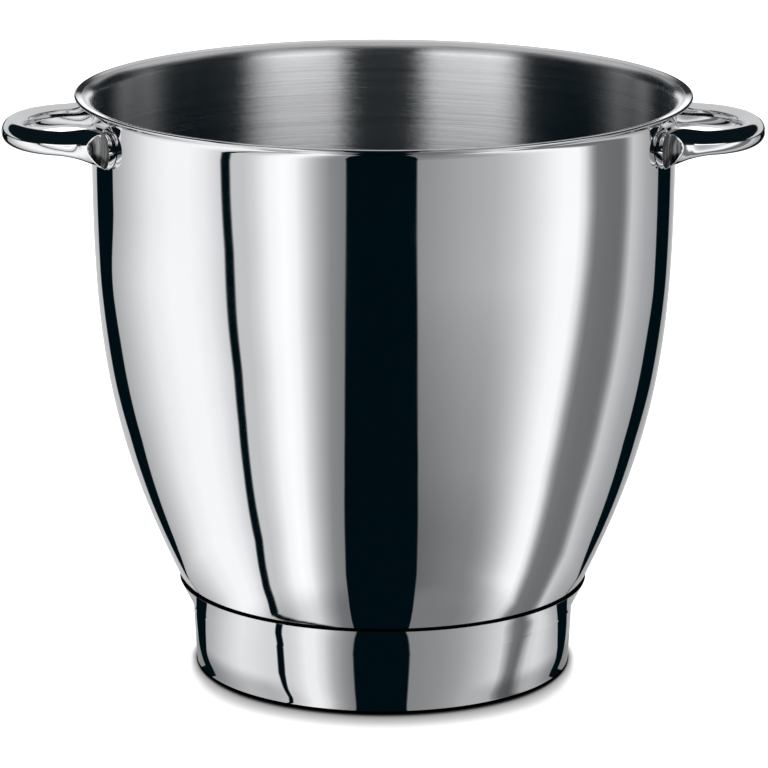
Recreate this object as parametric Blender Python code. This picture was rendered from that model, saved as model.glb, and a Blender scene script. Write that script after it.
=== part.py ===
"""Two-handled stainless steel stand mixer bowl.

A deep-drawn bowl with a flared lip stands on a welded foot. A twist-lock ring
with inward lugs is spot welded inside the foot, and a bow handle with
flattened, dished ends is spot welded to the wall on each side. Metres, +Z up,
origin at the centre of the foot's underside, handles along X.
"""
import bpy
import bmesh
from math import atan, cos, hypot, pi, radians, sin, sqrt, tan
from mathutils import Vector

# ---------------------------------------------------------------- dimensions
MM = 0.001
SEGMENTS = 64                 # facets round every turned piece
WELD_GAP = 0.0003             # clearance kept between welded pieces

# bowl
SHEET = 1.2 * MM              # sheet thickness of the bowl
RIM_RADIUS = 120.0 * MM       # lip, outside
RIM_HEIGHT = 228.7 * MM       # top of the lip above the table
WALL_RADIUS = 113.7 * MM      # outside of the wall just below the lip
WALL_TOP = 224.0 * MM         # height where the wall formula starts
WALL_RUN = 189.7 * MM         # height that the wall formula spans
WALL_TERMS = ((0.93 * MM, 1), (12.0 * MM, 3), (37.0 * MM, 4), (-15.9 * MM, 6))
LIP_SLOPE = radians(12.0)     # rise of the lip towards its edge
LIP_FILLET = 3.5 * MM         # outside radius where wall turns into lip
BELLY_END = 27.0 * MM         # height where the belly turns into the bottom
CORNER_RADIUS = 22.0 * MM     # outside radius of that turn
BOTTOM_CROWN = 1.5 * MM       # rise of the bottom's middle
CROWN_RADIUS = 40.0 * MM

# foot
FOOT_SHEET = 1.2 * MM
FOOT_BASE_RADIUS = 74.1 * MM  # outside, at the bottom bend
FOOT_TAPER = radians(3.2)     # the foot's wall leans out by this much
FOOT_BEND = 1.6 * MM          # outside radius of the bottom bend
FOOT_FLANGE_INNER = 65.0 * MM # inner edge of the flat base flange
FOOT_SHOULDER_FILLET = 3.0 * MM
FOOT_TOP = 34.4 * MM          # top edge of the flare that hugs the belly

# twist-lock ring
LOCK_PLATE = 1.8 * MM
LOCK_OUTER = 70.6 * MM
LOCK_INNER = 64.0 * MM
LUG_INNER = 57.5 * MM
LUG_COUNT = 4
LUG_ANGLE = radians(28.0)

# handles
TUBE_RADIUS = 4.75 * MM
HANDLE_HEIGHT = 213.7 * MM    # height of the tube's centre
PAD_HALF_HEIGHT = 7.0 * MM    # flattened end, half of its height
PAD_SOLE = 114.1 * MM         # radius of the pad's face towards the wall
PAD_FACE = 116.7 * MM         # radius of the pad's outer face
PAD_TIP = 6.5 * MM            # length of the rounded tip
DISH_RADIUS = 13.3 * MM       # the oval dish that the punch left across the bend
DISH_CENTRE = (117.8 * MM, -51.9 * MM)
DISH_TALL = 0.75              # how round the punch is up and down, 1 is a ball
TUBE_SIDES = 16
# plan of half the tube, from the middle of the bow to the end of the pad
HALF_PATH = ((143.8, 0.0), (142.9, -9.0), (139.6, -17.4), (134.2, -24.2),
             (127.2, -28.6), (121.0, -30.4), (116.2, -31.7), (112.7, -34.0),
             (110.0, -37.6), (107.6, -42.2), (105.4, -46.9), (103.6, -51.2))


# ------------------------------------------------------------------ helpers
def steel(name, colour, roughness):
    mat = bpy.data.materials.new(name)
    mat.use_nodes = True
    shader = mat.node_tree.nodes["Principled BSDF"]
    shader.inputs["Base Color"].default_value = (*colour, 1.0)
    shader.inputs["Metallic"].default_value = 1.0
    shader.inputs["Roughness"].default_value = roughness
    return mat


def link(name, mesh, mat):
    obj = bpy.data.objects.new(name, mesh)
    bpy.context.scene.collection.objects.link(obj)
    mesh.materials.clear()
    mesh.materials.append(mat)
    mesh.shade_smooth()
    mesh.set_sharp_from_angle(angle=radians(40.0))
    return obj


def turned(name, profile, closed, mat):
    """Spin a profile of (radius, height) points once round the Z axis."""
    bm = bmesh.new()
    verts = [bm.verts.new((r, 0.0, z)) for r, z in profile]
    edges = [bm.edges.new(pair) for pair in zip(verts, verts[1:])]
    if closed:
        edges.append(bm.edges.new((verts[-1], verts[0])))
    bmesh.ops.spin(bm, geom=verts + edges, cent=(0, 0, 0), axis=(0, 0, 1),
                   dvec=(0, 0, 0), angle=2 * pi, steps=SEGMENTS,
                   use_duplicate=False)
    bmesh.ops.remove_doubles(bm, verts=bm.verts, dist=1e-6)
    bmesh.ops.recalc_face_normals(bm, faces=bm.faces)
    mesh = bpy.data.meshes.new(name)
    bm.to_mesh(mesh)
    bm.free()
    return link(name, mesh, mat)


def normals(points):
    """Unit normal to the left of a polyline at each of its points."""
    out = []
    for i in range(len(points)):
        a = points[max(i - 1, 0)]
        b = points[min(i + 1, len(points) - 1)]
        dx, dy = b[0] - a[0], b[1] - a[1]
        size = hypot(dx, dy)
        out.append((-dy / size, dx / size))
    return out


def offset(points, distance):
    return [(p[0] + n[0] * distance, p[1] + n[1] * distance)
            for p, n in zip(points, normals(points))]


def arc(centre, radius, start, end, steps):
    return [(centre[0] + radius * cos(start + (end - start) * i / steps),
             centre[1] + radius * sin(start + (end - start) * i / steps))
            for i in range(steps + 1)]


# --------------------------------------------------------------------- bowl
def wall_radius(z):
    t = (WALL_TOP - z) / WALL_RUN
    return WALL_RADIUS - sum(c * t ** p for c, p in WALL_TERMS)


def wall_slope(z):
    t = (WALL_TOP - z) / WALL_RUN
    return sum(c * p * t ** (p - 1) for c, p in WALL_TERMS) / WALL_RUN


def bowl_outside(wall_steps=9, arc_steps=4):
    """Outside of the sheet from the bottom's middle up to the lip's edge."""
    # bottom: crowned middle, flat ring, then the corner arc
    lean = atan(wall_slope(BELLY_END))
    start = (wall_radius(BELLY_END), BELLY_END)
    centre = (start[0] - CORNER_RADIUS * cos(lean),
              start[1] + CORNER_RADIUS * sin(lean))
    bottom = centre[1] - CORNER_RADIUS
    points = []
    for i in range(4):
        r = CROWN_RADIUS * i / 3
        points.append((r, bottom + BOTTOM_CROWN * 0.5 * (1 + cos(pi * i / 3))))
    points += arc(centre, CORNER_RADIUS, -pi / 2, -lean, arc_steps)
    # belly and wall
    edge_z = RIM_HEIGHT - SHEET / 2
    mid_fillet = LIP_FILLET + SHEET / 2
    mid_wall = WALL_RADIUS - SHEET / 2
    edge_r = RIM_RADIUS - SHEET / 2
    turn = pi / 2 + LIP_SLOPE
    arc_end_r = mid_wall + mid_fillet * (1 + cos(turn))
    fillet_z = edge_z - (edge_r - arc_end_r) * tan(LIP_SLOPE) - mid_fillet * sin(turn)
    for i in range(1, wall_steps):
        # closer together in the curved belly than in the straight wall
        t = (i / wall_steps) ** 1.25
        z = BELLY_END + (fillet_z - BELLY_END) * t
        points.append((wall_radius(z), z))
    # lip
    points += arc((WALL_RADIUS + LIP_FILLET, fillet_z), LIP_FILLET, pi, turn, 3)
    points.append((edge_r + SHEET / 2 * sin(LIP_SLOPE),
                   edge_z - SHEET / 2 * cos(LIP_SLOPE)))
    return points


def make_bowl(mat):
    outside = bowl_outside()
    inside = offset(outside, SHEET)
    inside[0] = (0.0, outside[0][1] + SHEET)
    # the lip's edge is a half round
    edge = (RIM_RADIUS - SHEET / 2, RIM_HEIGHT - SHEET / 2)
    inside[-1] = (edge[0] - SHEET / 2 * sin(LIP_SLOPE),
                  edge[1] + SHEET / 2 * cos(LIP_SLOPE))
    nose = arc(edge, SHEET / 2, LIP_SLOPE - pi / 2, LIP_SLOPE + pi / 2, 4)[1:-1]
    return turned("bowl_shell", outside + nose + inside[::-1], False, mat)


# --------------------------------------------------------------------- foot
def foot_outside():
    """Outside of the foot's sheet, from the flange's inner edge to the top."""
    lean = FOOT_TAPER
    bend = (FOOT_BASE_RADIUS - FOOT_BEND, FOOT_BEND)
    points = [(FOOT_FLANGE_INNER, 0.0)]
    points += arc(bend, FOOT_BEND, -pi / 2, -lean, 4)
    foot_line = points[-1]
    # the flare runs parallel to the belly, a gap and a sheet away from it
    stand_off = WELD_GAP + FOOT_SHEET
    flare_lean = atan(wall_slope(FOOT_TOP))
    flare_top = (wall_radius(FOOT_TOP) + stand_off / cos(flare_lean), FOOT_TOP)
    # the corner where both straight runs would meet
    k1, k2 = tan(lean), tan(flare_lean)
    z = (foot_line[0] - k1 * foot_line[1] - flare_top[0] + k2 * flare_top[1]) / (k2 - k1)
    corner = (foot_line[0] + k1 * (z - foot_line[1]), z)
    # the fillet that rounds the corner, its centre on the outer side
    half = (flare_lean - lean) / 2
    reach = FOOT_SHOULDER_FILLET * tan(half)
    centre = (corner[0] - reach * sin(lean) + FOOT_SHOULDER_FILLET * cos(lean),
              corner[1] - reach * cos(lean) - FOOT_SHOULDER_FILLET * sin(lean))
    points += arc(centre, FOOT_SHOULDER_FILLET, pi - lean, pi - flare_lean, 3)
    points.append(flare_top)
    return points


def make_foot(mat):
    outside = foot_outside()
    inside = offset(outside, FOOT_SHEET)
    return turned("foot_ring", outside + inside[::-1], True, mat)


# ---------------------------------------------------------- twist-lock ring
def make_lock(mat):
    """Flat stamped ring with lugs, cut from plate and spot welded inside."""
    low = FOOT_SHEET + WELD_GAP
    high = low + LOCK_PLATE
    inner = []                                  # (angle, inner radius)
    for lug in range(LUG_COUNT):
        middle = 2 * pi * lug / LUG_COUNT + pi / 4
        for i in range(5):
            inner.append((middle - LUG_ANGLE / 2 + LUG_ANGLE * i / 4, LUG_INNER))
        gap = 2 * pi / LUG_COUNT - LUG_ANGLE
        for i in range(9):
            inner.append((middle + LUG_ANGLE / 2 + gap * (0.03 + 0.94 * i / 8), LOCK_INNER))
    bm = bmesh.new()
    loops = []
    for angle, radius in inner:
        loops.append([bm.verts.new((r * cos(angle), r * sin(angle), z))
                      for r, z in ((radius, low), (LOCK_OUTER, low),
                                   (LOCK_OUTER, high), (radius, high))])
    for a, b in zip(loops, loops[1:] + loops[:1]):
        for k in range(4):
            bm.faces.new((a[k], b[k], b[(k + 1) % 4], a[(k + 1) % 4]))
    bmesh.ops.recalc_face_normals(bm, faces=bm.faces)
    mesh = bpy.data.meshes.new("locking_ring")
    bm.to_mesh(mesh)
    bm.free()
    return link("locking_ring", mesh, mat)


# ------------------------------------------------------------------ handles
def natural_spline(knots, values):
    """Second derivatives of the natural cubic spline through values."""
    n = len(knots)
    second = [0.0] * n
    work = [0.0] * n
    for i in range(1, n - 1):
        ratio = (knots[i] - knots[i - 1]) / (knots[i + 1] - knots[i - 1])
        p = ratio * second[i - 1] + 2.0
        second[i] = (ratio - 1.0) / p
        rise = ((values[i + 1] - values[i]) / (knots[i + 1] - knots[i])
                - (values[i] - values[i - 1]) / (knots[i] - knots[i - 1]))
        work[i] = (6.0 * rise / (knots[i + 1] - knots[i - 1]) - ratio * work[i - 1]) / p
    second[-1] = 0.0
    for i in range(n - 2, -1, -1):
        second[i] = second[i] * second[i + 1] + work[i]
    return second


def spline_at(knots, values, second, s):
    k = 0
    while k < len(knots) - 2 and s > knots[k + 1]:
        k += 1
    h = knots[k + 1] - knots[k]
    a = (knots[k + 1] - s) / h
    b = (s - knots[k]) / h
    return (a * values[k] + b * values[k + 1]
            + ((a ** 3 - a) * second[k] + (b ** 3 - b) * second[k + 1]) * h * h / 6.0)


def blend(t):
    t = min(max(t, 0.0), 1.0)
    return t * t * (3.0 - 2.0 * t)


def handle_sections():
    """Rings of points along the handle, from the rear pad to the front pad."""
    half = [(x * MM, y * MM) for x, y in HALF_PATH]
    plan = [(x, -y) for x, y in half[:0:-1]] + half
    knots = [0.0]
    for a, b in zip(plan, plan[1:]):
        knots.append(knots[-1] + hypot(b[0] - a[0], b[1] - a[1]))
    xs, ys = [p[0] for p in plan], [p[1] for p in plan]
    sx, sy = natural_spline(knots, xs), natural_spline(knots, ys)
    total = knots[-1]

    # distance of each ring from the nearer end of the handle
    steps = [0.0, 0.35, 1.0, 2.0, 3.2, 4.6, 6.2]
    while steps[-1] < 26.0:
        steps.append(steps[-1] + 1.5)
    while steps[-1] < total / MM / 2 - 3.0:
        steps.append(steps[-1] + 3.6)
    stations = ([s * MM for s in steps] + [total / 2]
                + [total - s * MM for s in reversed(steps)])

    rings = []
    for s in stations:
        e = min(s, total - s)                    # distance from the end
        cx, cy = spline_at(knots, xs, sx, s), spline_at(knots, ys, sy, s)
        d = 0.05 * MM
        tx = spline_at(knots, xs, sx, s + d) - spline_at(knots, xs, sx, s - d)
        ty = spline_at(knots, ys, sy, s + d) - spline_at(knots, ys, sy, s - d)
        size = hypot(tx, ty)
        # horizontal normal on the side of the dish
        nx, ny = -ty / size, tx / size
        # the round tube spreads in height and thins towards its end
        spread = blend((33.0 * MM - e) / (18.0 * MM))
        high = TUBE_RADIUS + (PAD_HALF_HEIGHT - TUBE_RADIUS) * spread
        deep = TUBE_RADIUS + (3.2 * MM - TUBE_RADIUS) * blend((22.0 * MM - e) / (12.0 * MM))
        if e < PAD_TIP:
            high *= max(sqrt(max(1.0 - ((PAD_TIP - e) / PAD_TIP) ** 2, 0.0)), 0.16)
        # how far the metal reaches towards the wall and away from it
        dot, sq = cx * nx + cy * ny, cx * cx + cy * cy
        low_u, high_u = -1.0, 1.0
        disc = dot * dot - sq + PAD_SOLE ** 2
        if disc > 0.0 and dot > 0.5 * sqrt(sq):
            low_u = -dot + sqrt(disc)
        side = 1.0 if cy < 0.0 else -1.0
        qx, qy = cx - DISH_CENTRE[0], cy - side * DISH_CENTRE[1]
        qd, qq = qx * nx + qy * ny, qx * qx + qy * qy
        if e < 9.0 * MM:
            disc = dot * dot - sq + PAD_FACE ** 2
            high_u = min(high_u, -dot + sqrt(disc))
        ring = []
        for k in range(TUBE_SIDES):
            angle = 2.0 * pi * (k + 0.5) / TUBE_SIDES
            up = high * sin(angle)
            u = min(max(deep * cos(angle), low_u), high_u)
            disc = qd * qd - qq + DISH_RADIUS ** 2 - (DISH_TALL * up) ** 2
            if e < 30.0 * MM and u > 0.0 and disc > 0.0:
                u = max(min(u, -qd - sqrt(disc)), low_u + 0.4 * MM)
            ring.append((cx + u * nx, cy + u * ny, HANDLE_HEIGHT + up))
        rings.append(ring)
    return rings


def make_handle_mesh():
    bm = bmesh.new()
    rings = [[bm.verts.new(p) for p in ring] for ring in handle_sections()]
    for a, b in zip(rings, rings[1:]):
        for k in range(TUBE_SIDES):
            j = (k + 1) % TUBE_SIDES
            bm.faces.new((a[k], a[j], b[j], b[k]))
    bm.faces.new(rings[0][::-1])
    bm.faces.new(rings[-1])
    if bm.calc_volume(signed=True) < 0.0:
        bmesh.ops.reverse_faces(bm, faces=bm.faces)
    mesh = bpy.data.meshes.new("handle")
    bm.to_mesh(mesh)
    bm.free()
    return mesh


# -------------------------------------------------------------------- build
def main():
    for obj in list(bpy.data.objects):
        bpy.data.objects.remove(obj, do_unlink=True)

    polished = steel("polished_steel", (0.78, 0.78, 0.79), 0.05)
    foot_steel = steel("foot_steel", (0.78, 0.78, 0.79), 0.06)
    plate_steel = steel("plate_steel", (0.60, 0.60, 0.61), 0.35)
    handle_steel = steel("handle_steel", (0.80, 0.80, 0.81), 0.05)

    make_bowl(polished)
    make_foot(foot_steel)
    make_lock(plate_steel)
    mesh = make_handle_mesh()
    link("handle_right", mesh, handle_steel)
    left = link("handle_left", mesh.copy(), handle_steel)
    left.rotation_euler = (0.0, 0.0, pi)


main()
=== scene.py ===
"""Looks of the two-handled stand mixer bowl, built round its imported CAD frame.

Metres, +Z up, origin at the centre of the foot's underside, handles along X.
Every shown piece is a finer model of the CAD node that it replaces. The studio
is a white table and a ring of cards, which only the polished steel sees.
"""

from math import atan, atan2, cos, degrees, exp, hypot, log, pi, radians, sin, sqrt, tan

import bpy
from mathutils import Matrix, Vector


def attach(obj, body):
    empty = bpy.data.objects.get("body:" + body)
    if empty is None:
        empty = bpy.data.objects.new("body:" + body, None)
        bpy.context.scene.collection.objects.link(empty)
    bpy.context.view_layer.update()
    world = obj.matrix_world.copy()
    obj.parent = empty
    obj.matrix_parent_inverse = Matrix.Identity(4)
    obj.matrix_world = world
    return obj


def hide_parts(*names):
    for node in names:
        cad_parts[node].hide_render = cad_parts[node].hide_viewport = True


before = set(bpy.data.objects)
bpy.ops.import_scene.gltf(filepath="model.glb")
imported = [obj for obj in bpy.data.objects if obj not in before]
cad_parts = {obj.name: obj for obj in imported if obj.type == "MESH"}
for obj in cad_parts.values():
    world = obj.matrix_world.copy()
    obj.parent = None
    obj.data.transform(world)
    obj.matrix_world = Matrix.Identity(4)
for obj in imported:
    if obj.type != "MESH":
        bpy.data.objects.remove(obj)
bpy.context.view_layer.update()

# ---------------------------------------------------------------- dimensions
MM = 0.001
SHEET = 1.2 * MM
RIM_RADIUS = 120.0 * MM
RIM_HEIGHT = 228.7 * MM
WALL_RADIUS = 113.7 * MM
WALL_TOP = 224.0 * MM
WALL_RUN = 189.7 * MM
WALL_TERMS = ((0.93 * MM, 1), (12.0 * MM, 3), (37.0 * MM, 4), (-15.9 * MM, 6))
LIP_SLOPE = radians(12.0)
LIP_FILLET = 3.5 * MM
BELLY_END = 27.0 * MM
CORNER_RADIUS = 22.0 * MM
BOTTOM_CROWN = 1.5 * MM
CROWN_RADIUS = 40.0 * MM

FOOT_GAP = 0.12 * MM
FOOT_SHEET = 1.2 * MM
FOOT_BASE_RADIUS = 74.1 * MM
FOOT_TAPER = radians(3.2)
FOOT_BEND = 0.6 * MM
FOOT_FLANGE_INNER = 65.0 * MM
FOOT_SHOULDER_FILLET = 0.9 * MM
FOOT_CORNER = 23.7 * MM
FOOT_TOP = 34.1 * MM          # outer corner of the flare, where its bevel starts
FOOT_TOP_RADIUS = 80.7 * MM
FOOT_BEVEL = 0.09 * MM

LOCK_PLATE = 1.8 * MM
LOCK_LOW = FOOT_SHEET + 0.05 * MM
LOCK_OUTER = 70.6 * MM
LOCK_INNER = 64.0 * MM
LUG_INNER = 57.5 * MM
LUG_COUNT = 4
LUG_ANGLE = radians(28.0)

TUBE_RADIUS = 4.75 * MM
HANDLE_HEIGHT = 213.7 * MM
PAD_HALF_HEIGHT = 7.0 * MM
PAD_SOLE = 113.85 * MM
PAD_FACE = 116.7 * MM
PAD_TIP = 6.5 * MM
DISH_RADIUS = 13.3 * MM       # the oval dish that the punch left across the bend
DISH_CENTRE = (117.8 * MM, -51.9 * MM)
DISH_TALL = 0.75              # how round the punch is up and down, 1 is a ball
HALF_PATH = ((143.8, 0.0), (142.9, -9.0), (139.6, -17.4), (134.2, -24.2),
             (127.2, -28.6), (121.0, -30.4), (116.2, -31.7), (112.7, -34.0),
             (110.0, -37.6), (107.6, -42.2), (105.4, -46.9), (103.6, -51.2))

AROUND = 320                  # facets round the turned pieces
TUBE_SIDES = 96

# the object stands turned by this much towards the camera
TURN = radians(1.0)


# ------------------------------------------------------------- shader helpers
def new_material(name):
    mat = bpy.data.materials.new(name)
    mat.use_nodes = True
    tree = mat.node_tree
    shader = tree.nodes["Principled BSDF"]
    return mat, tree, shader


def add(tree, kind, x=0, y=0, **values):
    node = tree.nodes.new(kind)
    node.location = (x, y)
    for key, value in values.items():
        setattr(node, key, value)
    return node


def maths(tree, operation, a, b=None, c=None, clamp=False):
    node = add(tree, "ShaderNodeMath", operation=operation, use_clamp=clamp)
    for socket, value in zip(node.inputs, (a, b, c)):
        if value is None:
            continue
        if hasattr(value, "is_output"):
            tree.links.new(value, socket)
        else:
            socket.default_value = value
    return node.outputs[0]


def noise(tree, vector, scale, detail, roughness=0.5, distortion=0.0):
    node = add(tree, "ShaderNodeTexNoise", noise_dimensions="3D")
    node.inputs["Scale"].default_value = scale
    node.inputs["Detail"].default_value = detail
    node.inputs["Roughness"].default_value = roughness
    node.inputs["Distortion"].default_value = distortion
    tree.links.new(vector, node.inputs["Vector"])
    return node.outputs["Fac"]


def spread(tree, value, low, high, to_low, to_high):
    node = add(tree, "ShaderNodeMapRange", clamp=True)
    node.inputs["From Min"].default_value = low
    node.inputs["From Max"].default_value = high
    node.inputs["To Min"].default_value = to_low
    node.inputs["To Max"].default_value = to_high
    tree.links.new(value, node.inputs["Value"])
    return node.outputs["Result"]


def colours(tree, factor, low, high):
    node = add(tree, "ShaderNodeMix", data_type="RGBA")
    tree.links.new(factor, node.inputs["Factor"])
    node.inputs["A"].default_value = (*low, 1.0)
    node.inputs["B"].default_value = (*high, 1.0)
    node_a, node_b = [s for s in node.inputs if s.type == "RGBA"]
    node_a.default_value = (*low, 1.0)
    node_b.default_value = (*high, 1.0)
    return [s for s in node.outputs if s.type == "RGBA"][0]


def bump(tree, height, strength, distance, normal=None):
    node = add(tree, "ShaderNodeBump")
    node.inputs["Strength"].default_value = strength
    node.inputs["Distance"].default_value = distance
    tree.links.new(height, node.inputs["Height"])
    if normal is not None:
        tree.links.new(normal, node.inputs["Normal"])
    return node.outputs["Normal"]


def place(tree):
    return add(tree, "ShaderNodeTexCoord").outputs["Object"]


def round_the_axis(tree, around, along):
    """Coordinates whose noise runs in lines round the Z axis."""
    split = add(tree, "ShaderNodeSeparateXYZ")
    tree.links.new(place(tree), split.inputs[0])
    x, y, z = split.outputs
    r = maths(tree, "SQRT", maths(tree, "ADD", maths(tree, "MULTIPLY", x, x),
                                  maths(tree, "MULTIPLY", y, y)))
    r = maths(tree, "MAXIMUM", r, 1e-5)
    join = add(tree, "ShaderNodeCombineXYZ")
    tree.links.new(maths(tree, "MULTIPLY", maths(tree, "DIVIDE", x, r), around), join.inputs[0])
    tree.links.new(maths(tree, "MULTIPLY", maths(tree, "DIVIDE", y, r), around), join.inputs[1])
    tree.links.new(maths(tree, "MULTIPLY", maths(tree, "ADD", r, z), along), join.inputs[2])
    return join.outputs[0]


def metal(shader, anisotropy=0.0, rotation=0.0):
    shader.inputs["Metallic"].default_value = 1.0
    shader.inputs["IOR"].default_value = 1.5
    shader.inputs["Specular IOR Level"].default_value = 0.5
    shader.inputs["Anisotropic"].default_value = anisotropy
    shader.inputs["Anisotropic Rotation"].default_value = rotation


# ------------------------------------------------------------------ materials
def polished_steel(name, tint=(0.80, 0.80, 0.81), rough=0.03):
    """Mirror polish with faint swirls left by the polishing wheel."""
    mat, tree, shader = new_material(name)
    metal(shader)
    where = place(tree)
    cloud = noise(tree, where, 22.0, 4.0, 0.6)
    swirl = noise(tree, round_the_axis(tree, 9.0, 900.0), 1.0, 5.0, 0.6)
    mixed = maths(tree, "ADD", maths(tree, "MULTIPLY", cloud, 0.65),
                  maths(tree, "MULTIPLY", swirl, 0.35))
    tree.links.new(spread(tree, mixed, 0.35, 0.65, rough * 0.6, rough * 1.5),
                   shader.inputs["Roughness"])
    tree.links.new(colours(tree, spread(tree, cloud, 0.3, 0.7, 0.0, 1.0),
                           tuple(c * 0.975 for c in tint), tint),
                   shader.inputs["Base Color"])
    height = maths(tree, "ADD", maths(tree, "MULTIPLY", noise(tree, where, 30.0, 2.0), 1.0),
                   maths(tree, "MULTIPLY", swirl, 0.03))
    tree.links.new(bump(tree, height, 0.02, 0.001), shader.inputs["Normal"])
    return mat


def brushed_steel(name, tint=(0.72, 0.72, 0.73), rough=0.225, anisotropy=1.0):
    """Fine brush lines that run round the bowl, as a lathe leaves them."""
    mat, tree, shader = new_material(name)
    metal(shader, anisotropy, 0.25)
    tangent = add(tree, "ShaderNodeTangent", direction_type="RADIAL", axis="Z")
    tree.links.new(tangent.outputs[0], shader.inputs["Tangent"])
    fine = noise(tree, round_the_axis(tree, 2.0, 2600.0), 1.0, 3.0, 0.7)
    coarse = noise(tree, round_the_axis(tree, 0.7, 420.0), 1.0, 4.0, 0.6)
    cloud = noise(tree, place(tree), 28.0, 3.0, 0.55)
    lines = maths(tree, "ADD", maths(tree, "MULTIPLY", fine, 0.6),
                  maths(tree, "MULTIPLY", coarse, 0.4))
    both = maths(tree, "ADD", maths(tree, "MULTIPLY", lines, 0.75),
                 maths(tree, "MULTIPLY", cloud, 0.25))
    tree.links.new(spread(tree, both, 0.35, 0.65, rough * 0.8, rough * 1.25),
                   shader.inputs["Roughness"])
    tree.links.new(colours(tree, spread(tree, lines, 0.35, 0.65, 0.0, 1.0),
                           tuple(c * 0.80 for c in tint), tuple(c * 1.08 for c in tint)),
                   shader.inputs["Base Color"])
    tree.links.new(bump(tree, lines, 0.12, 0.0004), shader.inputs["Normal"])
    return mat


def seam_painted_shade(name):
    """Near-black matt steel with a few duller grains, painted shade of the gap where the foot's edge meets the
    belly.
    """
    mat, tree, shader = new_material(name)
    metal(shader)
    shader.inputs["Metallic"].default_value = 0.0
    shader.inputs["Specular IOR Level"].default_value = 0.02
    where = place(tree)
    grain = noise(tree, where, 900.0, 3.0, 0.6)
    tree.links.new(spread(tree, grain, 0.3, 0.7, 0.75, 0.95), shader.inputs["Roughness"])
    tree.links.new(colours(tree, spread(tree, grain, 0.35, 0.75, 0.0, 1.0),
                           (0.0003, 0.0003, 0.0003), (0.0010, 0.0010, 0.0010)),
                   shader.inputs["Base Color"])
    tree.links.new(bump(tree, grain, 0.2, 0.0002), shader.inputs["Normal"])
    return mat


def scuffed_steel_and_shade(name, low, high, rough):
    """Steel scuffed up and down by the punch that presses the handle's ends. Base colour runs from low to high;
    the punched dish's copy is near black, a painted dark reflection and shade.
    """
    mat, tree, shader = new_material(name)
    metal(shader, 0.5, 0.0)
    split = add(tree, "ShaderNodeSeparateXYZ")
    tree.links.new(place(tree), split.inputs[0])
    join = add(tree, "ShaderNodeCombineXYZ")
    for socket, source, scale in zip(join.inputs, split.outputs, (1000.0, 1000.0, 45.0)):
        tree.links.new(maths(tree, "MULTIPLY", source, scale), socket)
    streak = noise(tree, join.outputs[0], 1.0, 3.0, 0.65)
    broad = noise(tree, join.outputs[0], 0.3, 2.0, 0.5)
    both = maths(tree, "ADD", maths(tree, "MULTIPLY", streak, 0.6),
                 maths(tree, "MULTIPLY", broad, 0.4))
    tree.links.new(spread(tree, both, 0.35, 0.65, rough * 0.6, rough * 1.5),
                   shader.inputs["Roughness"])
    tree.links.new(colours(tree, spread(tree, both, 0.36, 0.66, 0.0, 1.0),
                           (low,) * 3, (high,) * 3),
                   shader.inputs["Base Color"])
    tree.links.new(bump(tree, streak, 0.10, 0.0003), shader.inputs["Normal"])
    return mat


def mill_steel(name):
    """Stamped plate with the dull grain of rolled sheet."""
    mat, tree, shader = new_material(name)
    metal(shader, 0.4, 0.0)
    stretch = add(tree, "ShaderNodeVectorMath", operation="MULTIPLY")
    tree.links.new(place(tree), stretch.inputs[0])
    stretch.inputs[1].default_value = (60.0, 1600.0, 900.0)
    grain = noise(tree, stretch.outputs[0], 1.0, 4.0, 0.65)
    cloud = noise(tree, place(tree), 60.0, 4.0, 0.6)
    both = maths(tree, "ADD", maths(tree, "MULTIPLY", grain, 0.6),
                 maths(tree, "MULTIPLY", cloud, 0.4))
    tree.links.new(spread(tree, both, 0.3, 0.7, 0.26, 0.46), shader.inputs["Roughness"])
    tree.links.new(colours(tree, spread(tree, both, 0.3, 0.7, 0.0, 1.0),
                           (0.50, 0.50, 0.51), (0.62, 0.62, 0.63)),
                   shader.inputs["Base Color"])
    tree.links.new(bump(tree, grain, 0.15, 0.0003), shader.inputs["Normal"])
    return mat


# -------------------------------------------------------------- mesh helpers
def link(name, verts, faces, mats, face_mats=None, smooth=True, sharp=None):
    mesh = bpy.data.meshes.new(name)
    mesh.from_pydata(verts, [], faces)
    for mat in mats:
        mesh.materials.append(mat)
    if face_mats is not None:
        mesh.polygons.foreach_set("material_index", face_mats)
    mesh.update()
    if smooth:
        mesh.shade_smooth()
        if sharp is not None:
            mesh.set_sharp_from_angle(angle=sharp)
    obj = bpy.data.objects.new(name, mesh)
    bpy.context.scene.collection.objects.link(obj)
    return obj


def turned(name, profile, mats, face_mat=None, closed=False, around=AROUND, sharp=None):
    """Turns (radius, height) points round Z; the metal is left of the profile.

    The profile runs with the metal on its left as seen with +Z up and the
    radius to the right, so that the faces look outward.
    """
    verts, rows = [], []
    for r, z in profile:
        if r < 1e-7:
            rows.append([len(verts)] * around)
            verts.append((0.0, 0.0, z))
        else:
            rows.append(list(range(len(verts), len(verts) + around)))
            verts += [(r * cos(2 * pi * k / around), r * sin(2 * pi * k / around), z)
                      for k in range(around)]
    faces, indices = [], []
    pairs = list(zip(range(len(rows)), range(1, len(rows))))
    if closed:
        pairs.append((len(rows) - 1, 0))
    for a, b in pairs:
        for k in range(around):
            j = (k + 1) % around
            loop = [rows[a][k], rows[a][j], rows[b][j], rows[b][k]]
            face = [v for n, v in enumerate(loop) if v not in loop[:n]]
            faces.append(face)
            indices.append(face_mat[a] if face_mat else 0)
    return link(name, verts, faces, mats, indices, sharp=sharp)


def normals(points):
    out = []
    for i in range(len(points)):
        a = points[max(i - 1, 0)]
        b = points[min(i + 1, len(points) - 1)]
        dx, dy = b[0] - a[0], b[1] - a[1]
        size = hypot(dx, dy)
        out.append((-dy / size, dx / size))
    return out


def offset(points, distance):
    return [(p[0] + n[0] * distance, p[1] + n[1] * distance)
            for p, n in zip(points, normals(points))]


def arc(centre, radius, start, end, steps):
    return [(centre[0] + radius * cos(start + (end - start) * i / steps),
             centre[1] + radius * sin(start + (end - start) * i / steps))
            for i in range(steps + 1)]


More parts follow.
